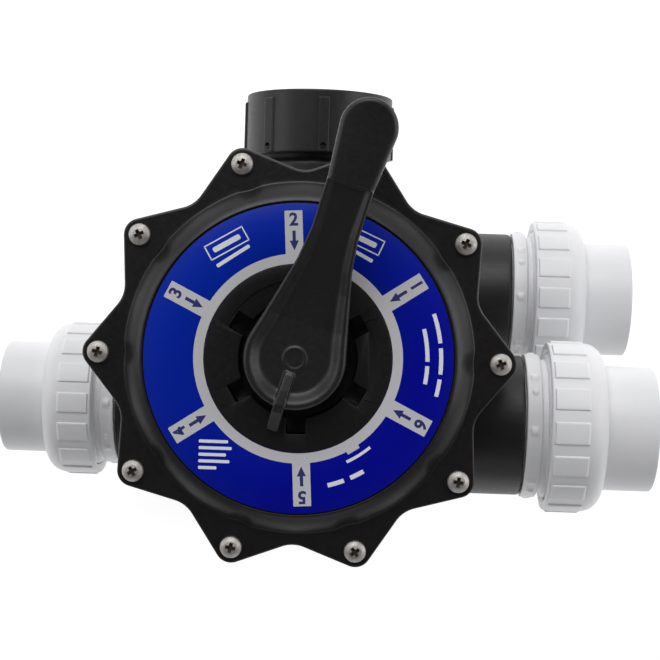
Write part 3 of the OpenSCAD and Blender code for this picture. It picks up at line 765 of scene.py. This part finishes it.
def make_screws():
    """Pan head screws with a cross recess, each turned its own way."""
    head = rounded([
        (0.001, 0, 0), (SCREW_HEAD_R - 0.3, 0, 0.2), (SCREW_HEAD_R, 0.7, 0.4),
        (SCREW_HEAD_R - 0.35, 2.1, 0.9), (SCREW_HEAD_R * 0.62, 3.55, 1.6),
        (SCREW_HEAD_R * 0.3, SCREW_HEAD_H - 0.02, 1.0), (0.001, SCREW_HEAD_H, 0)], steps=4)
    model = revolve("screw", head, 64)
    weld(model)
    long, wide, deep = 2.9, 1.0, 2.9
    for k in range(2):
        rings = []
        for z, shrink in ((SCREW_HEAD_H - deep, 0.6), (SCREW_HEAD_H + 0.5, 1.08)):
            a, b = long * shrink, wide * (0.6 + 0.4 * shrink)
            rings.append([(-a, -b, z), (a, -b, z), (a, b, z), (-a, b, z)])
        cut(model, loft("cutter", rings, Matrix.Rotation(k * math.pi / 2, 4, "Z")))
    socket = revolve("cutter", [(0.001, SCREW_HEAD_H - 3.0), (0.7, SCREW_HEAD_H - 2.6),
                                (1.3, SCREW_HEAD_H + 1), (0.001, SCREW_HEAD_H + 1)], 24)
    weld(socket)
    cut(model, socket)
    smooth(model, 30)
    model.data.materials.clear()
    model.data.materials.append(MATERIALS["stainless"])
    model.data.materials.append(MATERIALS["dirt_and_painted_shade"])
    # Grime and painted shade, as one dark brown, on the walls and the floor of the recess
    for face in model.data.polygons:
        x, y, z = face.center / MM
        sunk = face.normal.z < 0.6 or z < SCREW_HEAD_H - 1.2
        face.material_index = 1 if math.hypot(x, y) < 3.3 and sunk and z > 0.4 else 0
    foot = box_mm("cover_screws")[0][2] - LID_Z

    def thread(a, r, z):
        return np.where((z < -20) & (r > 2.5), 0.12 * np.sin(a + TAU * z) - 0.12, 0)

    shank = revolve(
        "shank", rounded([(0.6, foot), (3, foot), (3, 0.2), (0.6, 0.2)], 0.3), 32, relief=thread)
    shank.data.materials.append(MATERIALS["stainless"])
    parts = []
    for k in range(LOBES):
        turn = TAU * k / LOBES
        place = Matrix.Translation(Vector((BOLT_R * math.cos(turn), BOLT_R * math.sin(turn), LID_Z)) * MM)
        place = place @ Matrix.Rotation(math.radians(47 * k + 20), 4, "Z")
        for part in (model, shank):
            copy = part.copy()
            copy.data = part.data.copy()
            copy.data.transform(place)
            bpy.context.scene.collection.objects.link(copy)
            parts.append(copy)
    bpy.data.objects.remove(model)
    bpy.data.objects.remove(shank)
    screws = join("cover_screw_set", parts)
    dress(screws, None, "housing", "stainless", "cover_screws")


# ---------------------------------------------------------------- handle

HUB_R = 27.5
HUB_DROP = 15.0         # from the pin to the hub's foot
HUB_BOSS_R = 6.5
HANDLE_LEN = 142.0      # from the pin to the tip
HANDLE_SHIFT = 1.1      # sideways along the pin
ARM_HALF = 12.75
NECK = 62.0             # where the arm's sides stop closing in
PADDLE_AT = 96.0        # where the paddle starts
PADDLE_HALF = 15.5
PADDLE_END = HANDLE_LEN - PADDLE_HALF


def half_width(x):
    """Half the handle's width along its arm: round hub, tapering arm, round-ended paddle."""
    flank = math.acos((HUB_R - ARM_HALF) / NECK)
    touch_x, touch_y = HUB_R * math.cos(flank), HUB_R * math.sin(flank)
    if x < touch_x:
        return math.sqrt(max(HUB_R**2 - x**2, 0))
    if x > PADDLE_END:
        return math.sqrt(max(PADDLE_HALF**2 - (x - PADDLE_END) ** 2, 0))
    places = [touch_x, NECK - 10, NECK + 8, PADDLE_AT, PADDLE_END]
    slope = (touch_y - ARM_HALF) / (NECK - touch_x)
    widths = [touch_y, ARM_HALF + 10 * slope * 0.9, ARM_HALF, ARM_HALF, PADDLE_HALF]
    return float(np.interp(x, places, widths))


def from_edge(x, y, half):
    """Distance of a point from the handle's outline, seen from above."""
    if x < 0:
        return np.maximum(HUB_R - np.hypot(x, y), 0)
    if x > PADDLE_END:
        return np.maximum(PADDLE_HALF - np.hypot(x - PADDLE_END, y), 0)
    return np.maximum(half - np.abs(y), 0)


def handle_top(x, y, half):
    """Top of the handle above the pin: a soft rim round a dished hub and channel, then the paddle."""
    edge = from_edge(x, y, half)
    height = np.interp(x, [-30, 20, 40, PADDLE_AT, HANDLE_LEN], [12.4, 12.5, 15.4, 31.4, 40.2])
    if x < PADDLE_AT:
        depth = np.interp(x, [-28, 10, 45, PADDLE_AT], [4.2, 4.2, 3.6, 2.0])
        rim_in = np.interp(x, [-28, 15, 50, PADDLE_AT], [9.8, 9.6, 6.4, 5.0])
        rim_out = np.interp(x, [-28, 15, 50, PADDLE_AT], [2.6, 2.2, 0.9, 0.6])
        height = height - depth * step_up(edge, (rim_in + rim_out) / 2, rim_in - rim_out)
        corner = 2.4 - 0.9 * float(step_up(x, 40, 40))
    else:
        height = height + 0.5 - 1.5 * (y / PADDLE_HALF) ** 2
        corner = 3.0
    inside = np.minimum(edge, corner)
    return height - (corner - np.sqrt(corner**2 - (corner - inside) ** 2))


def handle_underside(x, y, half):
    """Underside above the pin. It stays clear of the cover's plateau at rest and pressed down."""
    low = np.interp(x, [-30, 20, 26, 33, PADDLE_AT, HANDLE_LEN], [-15, -15, -7, 2, 22.5, 31.3])
    clear = TOP_Z + 0.5 - PIN_Z + 0.28 * max(x - 17, 0)
    outside = np.hypot(x, y + HANDLE_SHIFT) > WELL_R - 1.4
    low = np.where(outside, np.maximum(low, clear), low)
    inside = np.minimum(from_edge(x, y, half), 1.2)
    return low + 1.2 - np.sqrt(1.2**2 - (1.2 - inside) ** 2)


def pointer_ring(x, half, low, high, corner):
    """Cross-section of the pointer: a rounded rectangle across the arm."""
    outline = rounded([(-half, low), (half, low), (half, high), (-half, high)], corner, 5)
    return [(x, y, z) for y, z in outline]


def make_handle():
    """Handle: a lofted lever with its pointer and hub boss, blended into one moulding."""
    across = np.sin(np.linspace(-math.pi / 2, math.pi / 2, 61))
    ends = np.sin(np.linspace(-math.pi / 2, math.pi / 2, 220))
    stations = list((HANDLE_LEN - HUB_R) / 2 + ends * (HANDLE_LEN + HUB_R) / 2)
    stations = sorted(stations + [PADDLE_AT - 0.05, PADDLE_AT + 0.05])
    rings = []
    for x in stations:
        half = max(half_width(x), 0.05)
        y = across * half
        low, high = handle_underside(x, y, half), handle_top(x, y, half)
        ring = [(x, a, b) for a, b in zip(y, low)]
        ring += [(x, a, b) for a, b in zip(y[::-1], np.maximum(high, low + 0.1)[::-1])]
        rings.append(ring)
    body = loft("handle_body", rings)

    # Pointer opposite the arm, over the rim and down onto the cover
    low_end = TOP_Z + 0.3 - PIN_Z
    pointer = []
    for x, low, high, half in ((-41, low_end, 2.0, 2.7), (-40.3, low_end, 3.0, 3.2),
                               (-34, low_end, 8.4, 3.2), (-30, 0, 12.0, 3.1), (-26.5, 0, 13.4, 3.0),
                               (-18, 0, 12.0, 2.9), (-9, 0, 9.9, 2.7), (-7, 0, 8.6, 2.4)):
        pointer.append(pointer_ring(x, half, low, high, 0.9))
    pointer = loft("pointer", pointer)
    floor = handle_top(0, np.array([0.0]), HUB_R)[0]
    boss = revolve("boss", rounded([
        (0.5, floor - 3), (HUB_BOSS_R, floor - 3), (HUB_BOSS_R, floor + 0.7, 0.5),
        (HUB_BOSS_R - 1.1, floor + 0.7, 0.4), (HUB_BOSS_R - 1.5, floor + 0.25, 0.4),
        (0.5, floor + 0.25, 0)], 0.3), 64)
    handle = join("valve_handle", [body, pointer, boss])
    soften(handle, 0.5, 3)
    handle.data.transform(Matrix.Translation((0, HANDLE_SHIFT * MM, 0)))

    # Slot for the shaft's flat head, round above the pin
    slot_x, slot_y, slot_r = 11.5, 6.3, 7.2
    slot = [(-slot_x, -slot_y), (slot_x, -slot_y), (slot_x, slot_y), (-slot_x, slot_y)]
    cut(handle, prism("cutter", slot, -HUB_DROP - 1, 0))
    dome = [(0.01, -slot_y), (slot_r, -slot_y), (slot_r, slot_y), (0.01, slot_y)]
    cut(handle, revolve("cutter_dome", dome, 48, Matrix.Rotation(math.pi / 2, 4, "X")))
    handle.data.transform(Matrix.Translation((0, 0, PIN_Z * MM)) @ Matrix.Rotation(HANDLE_DIR, 4, "Z"))
    smooth(handle, 40)
    dress(handle, MATERIALS["handle_plastic"], "handle", "handle_plastic", "handle")


# ---------------------------------------------------------------- unions

SPIGOT_R = 35.9
COLLAR_R = 42.0
LUGS = 8
THREAD_R = 43.2
THREAD_PITCH = 5.0
NUT_R = 49.3
PADS = 16
TAIL_R = 36.5
SOCKET_R = 30.25        # 2 inch pipe
PASSAGE_R = 26.0        # tailpiece past the pipe's stop


def make_union_body(side, place):
    """White union end: collar with small bars and buttons, a neck, then a coarse round thread."""
    face = 31.0
    glue_gap = 0.8
    neck = COLLAR_R - 3.0
    bore = 27.0
    section = rounded([
        (bore, -SPIGOT, 0.5), (SPIGOT_R, -SPIGOT, 0.6), (SPIGOT_R, glue_gap, 0.1),
        (COLLAR_R, glue_gap, 0.8), (COLLAR_R, 9.4, 0.9), (neck, 9.8, 0.4), (neck, 13.0, 0.4),
        (THREAD_R - 1.4, 13.6, 0.3), (THREAD_R - 1.4, face, 0.5), (bore, face, 0.5)])

    def relief(a, r, z):
        turn = (z - 12) / THREAD_PITCH * TAU
        wave = 0.5 + 0.5 * np.cos(a - turn)
        thread = 1.4 * step_up(wave, 0.42, 0.3) * step_up(z, 14.6, 1.5) * (1 - step_up(z, face - 1.4, 1.5))
        pitch = TAU / LUGS
        lug_at = np.abs((a + pitch / 2) % pitch - pitch / 2) * COLLAR_R
        lug = (1 - step_up(lug_at, 2.0, 0.8)) * step_up(z, 3.0, 0.8) * (1 - step_up(z, 7.4, 0.8))
        button_at = np.abs((a - 0.3 * pitch) % (2 * pitch) - pitch) * COLLAR_R
        button = 1 - step_up(np.hypot(button_at, z - 5.4), 1.6, 0.9)
        outside = r > THREAD_R - 2.5
        marks = 0.9 * (lug + button)
        return np.where(outside & (z > 13), thread, 0) + np.where(outside & (z < 9), marks, 0)

    body = revolve(f"{side}_union_end", dense(section, 0.7), 256, place, relief)
    dress(body, MATERIALS["white_pvc"], "housing", "white_pvc", f"{side}_union_body")


def make_union_nut(side, place):
    """White union nut: square pads round its barrel and a rounded shoulder down to the tailpiece."""
    low, shoulder, high, seat = 14.0, 35.5, 47.0, 38.6
    mouth = TAIL_R + 0.35
    crown = mouth + 1.3
    arc = [(crown + (NUT_R - crown) * math.cos(a), shoulder + (high - shoulder) * math.sin(a), 0)
           for a in np.radians(np.arange(6, 88, 6))]
    section = rounded([
        (THREAD_R + 0.5, low + 1.2, 0.4), (THREAD_R + 1.9, low, 0.5), (NUT_R, low, 1.0),
        (NUT_R, shoulder, 0), *arc, (crown, high, 0.3), (mouth, high - 0.3, 0.3), (mouth, seat, 0.2),
        (THREAD_R + 0.5, seat, 0.4)])
    pad_low, pad_high = 16.0, 35.0

    def relief(a, r, z):
        pitch = TAU / PADS
        across = np.abs((a + pitch / 2) % pitch - pitch / 2) * NUT_R
        half = 0.315 * pitch * NUT_R
        pad = (1 - step_up(across, half, 0.7)) * step_up(z, pad_low, 0.7)
        pad = pad * (1 - step_up(z, pad_high, 0.7))
        return np.where(r > NUT_R - 1.5, pad, 0)

    nut = revolve(f"{side}_coupling_nut", dense(section, 0.65), 576, place, relief)
    dress(nut, MATERIALS["white_pvc"], f"{side}_nut", "white_pvc", f"{side}_union_nut")


def make_tailpiece(side, place):
    """White pipe socket: a flange inside the nut, a rounded rim and a stop step for the pipe."""
    start, end, stop = 31.3, 76.5, 38.0
    flange_r, flange_t = 42.6, 7.0
    section = rounded([
        (PASSAGE_R, start, 0.5), (flange_r, start, 0.5), (flange_r, start + flange_t, 0.5),
        (TAIL_R, start + flange_t, 0.3), (TAIL_R, end - 2.4, 0.3), (TAIL_R - 0.15, end, 0.9),
        (SOCKET_R + 0.6, end, 0.5), (SOCKET_R, end - 1.6, 0.5), (SOCKET_R, end - stop, 0.2),
        (PASSAGE_R, end - stop, 0.5)])
    tail = revolve(f"{side}_pipe_socket", dense(section, 2.0), 192, place)
    dress(tail, MATERIALS["white_pvc"], f"{side}_tail", "white_pvc", f"{side}_tailpiece")


def make_unions():
    for side in SIDES:
        place = union_matrix(side)
        make_union_body(side, place)
        make_union_nut(side, place)
        make_tailpiece(side, place)


# ---------------------------------------------------------------- top coupling

def make_adapter():
    """Black coupling: raised ribs with a pit at each foot, a plain rim and a pipe thread inside."""
    low, high = box_mm("port_adapter")
    centre = (low + high) / 2
    length = high[1] - low[1]
    rim, rib_h, ribs = 5.0, 1.4, 8
    outer, pocket_r, pocket_end, pitch_z = 47.75, 39.1, 16.5, 2.2
    place = port_matrix((0, 1, 0), (centre[0], low[1], centre[2]))
    section = rounded([
        (pocket_r, 0, 0.6), (outer, 0, 1.0), (outer, length, 0.9), (SOCKET_R + 2.0, length, 0.6),
        (SOCKET_R, length - 2.4, 0.4), (SOCKET_R, pocket_end, 0.3), (pocket_r, pocket_end, 0.3)])

    def relief(a, r, z):
        pitch = TAU / ribs
        start = math.radians(5.5)
        across = np.abs((a - start + pitch / 2) % pitch - pitch / 2) * outer
        rib = rib_h * (1 - step_up(across, 3.5, 0.6)) * (1 - step_up(z, length - rim, 0.8))
        foot = -2.0 * (1 - step_up(np.hypot(across, z - 4.2), 1.6, 0.8))
        thread = 0.9 * (0.5 - 0.5 * np.cos(a - z / pitch_z * TAU)) * step_up(z, 17.5, 1.5)
        outside = r > outer - 1.2
        inside = (r < SOCKET_R + 0.6) & (z > 17)
        return np.where(outside & (z > 0.3), rib + foot, 0) + np.where(inside, thread, 0)

    adapter = revolve("top_coupling", dense(section, 0.6), 720, place, relief)
    dress(adapter, MATERIALS["adapter_plastic"], "housing", "adapter_plastic", "port_adapter")


# ---------------------------------------------------------------- CAD nodes that stay

def dress_cad_nodes():
    """Gives every CAD node, replaced or not, the material of its slot."""
    slots = {entry["node"]: entry["material_slot"] for entry in frame["record"]["subparts"]}
    for name, obj in frame["nodes"].items():
        obj.data.materials.clear()
        obj.data.materials.append(MATERIALS[slots[name]])


# ---------------------------------------------------------------- stage

def make_stage():
    """Pale floor that glows a little, so it stays bright, and a soft studio world."""
    floor = new_object("floor", [(-12, -12, 0), (12, -12, 0), (12, 12, 0), (-12, 12, 0)], [(0, 1, 2, 3)])
    material, nodes, links, shader, coords = material_base("floor_pale", (0.5, 0.5, 0.5), 0.9)
    cloud = noise(nodes, links, coords, 1.5, 2.0)
    links.new(
        blend_colour(nodes, links, spread(nodes, links, cloud, 0, 1), (0.5, 0.5, 0.5), (0.48, 0.48, 0.48)),
        shader.inputs["Base Color"],
    )
    shader.inputs["Emission Color"].default_value = (1, 1, 1, 1)
    shader.inputs["Emission Strength"].default_value = 0.86
    shader.inputs["Specular IOR Level"].default_value = 0.1
    floor.data.materials.append(material)

    # Studio surroundings: dark overhead, bright low down on the +Y side, dim on the -Y side
    world = bpy.data.worlds.new("studio")
    bpy.context.scene.world = world
    world.use_nodes = True
    nodes, links = world.node_tree.nodes, world.node_tree.links
    coords = nodes.new("ShaderNodeTexCoord")
    split = nodes.new("ShaderNodeSeparateXYZ")
    links.new(coords.outputs["Generated"], split.inputs["Vector"])
    overhead = spread(nodes, links, split.outputs["Z"], 1.0, 0.1, 0.66, 0.98)
    side = spread(nodes, links, split.outputs["Y"], 0.15, 0.56, -0.7, 0.7)
    total = nodes.new("ShaderNodeMath")
    total.operation = "MULTIPLY"
    links.new(overhead, total.inputs[0])
    links.new(side, total.inputs[1])
    links.new(total.outputs["Value"], nodes["Background"].inputs["Strength"])
    nodes["Background"].inputs["Color"].default_value = (1, 1, 1, 1)


def area_light(name, place, target, size, power, size_y=None):
    light = bpy.data.lights.new(name, "AREA")
    light.energy = power
    light.shape = "RECTANGLE"
    light.size = size
    light.size_y = size_y or size
    obj = bpy.data.objects.new(name, light)
    obj.location = place
    obj.rotation_euler = (Vector(target) - Vector(place)).to_track_quat("-Z", "Y").to_euler()
    bpy.context.scene.collection.objects.link(obj)


def make_lights():
    middle = (0, 0, 0.15)
    area_light("key", (-0.2, 1.2, 1.3), middle, 1.5, 13, 1.0)
    area_light("left_fill", (-1.5, 0.3, 0.9), middle, 1.0, 3, 0.7)
    area_light("right_fill", (1.4, 0.2, 0.8), middle, 1.2, 5, 0.7)
    area_light("low_fill", (0.1, -1.5, 0.9), middle, 1.2, 1.4, 0.6)


def make_camera():
    """Camera above the cover, looking down and turned a little about all three axes."""
    camera = bpy.data.cameras.new("camera")
    camera.sensor_width = 36
    camera.lens = 84.545
    camera.dof.use_dof = False
    camera.clip_end = 20
    obj = bpy.data.objects.new("camera", camera)
    height = 848
    obj.location = (0.0425, 0.0333, (LID_Z + height) * MM)
    roll = Matrix.Rotation(math.radians(1.8), 4, "Z")
    tip = Matrix.Rotation(math.radians(-1.12), 4, "X")
    yaw = Matrix.Rotation(math.radians(1.78), 4, "Y")
    obj.rotation_euler = (roll @ yaw @ tip).to_euler()
    bpy.context.scene.collection.objects.link(obj)
    bpy.context.scene.camera = obj


bpy.context.scene.view_settings.view_transform = "Standard"
make_camera()
make_stage()
make_lights()
dress_cad_nodes()
make_body()
make_spring()
make_cover()
make_label()
make_screws()
make_handle()
make_unions()
make_adapter()
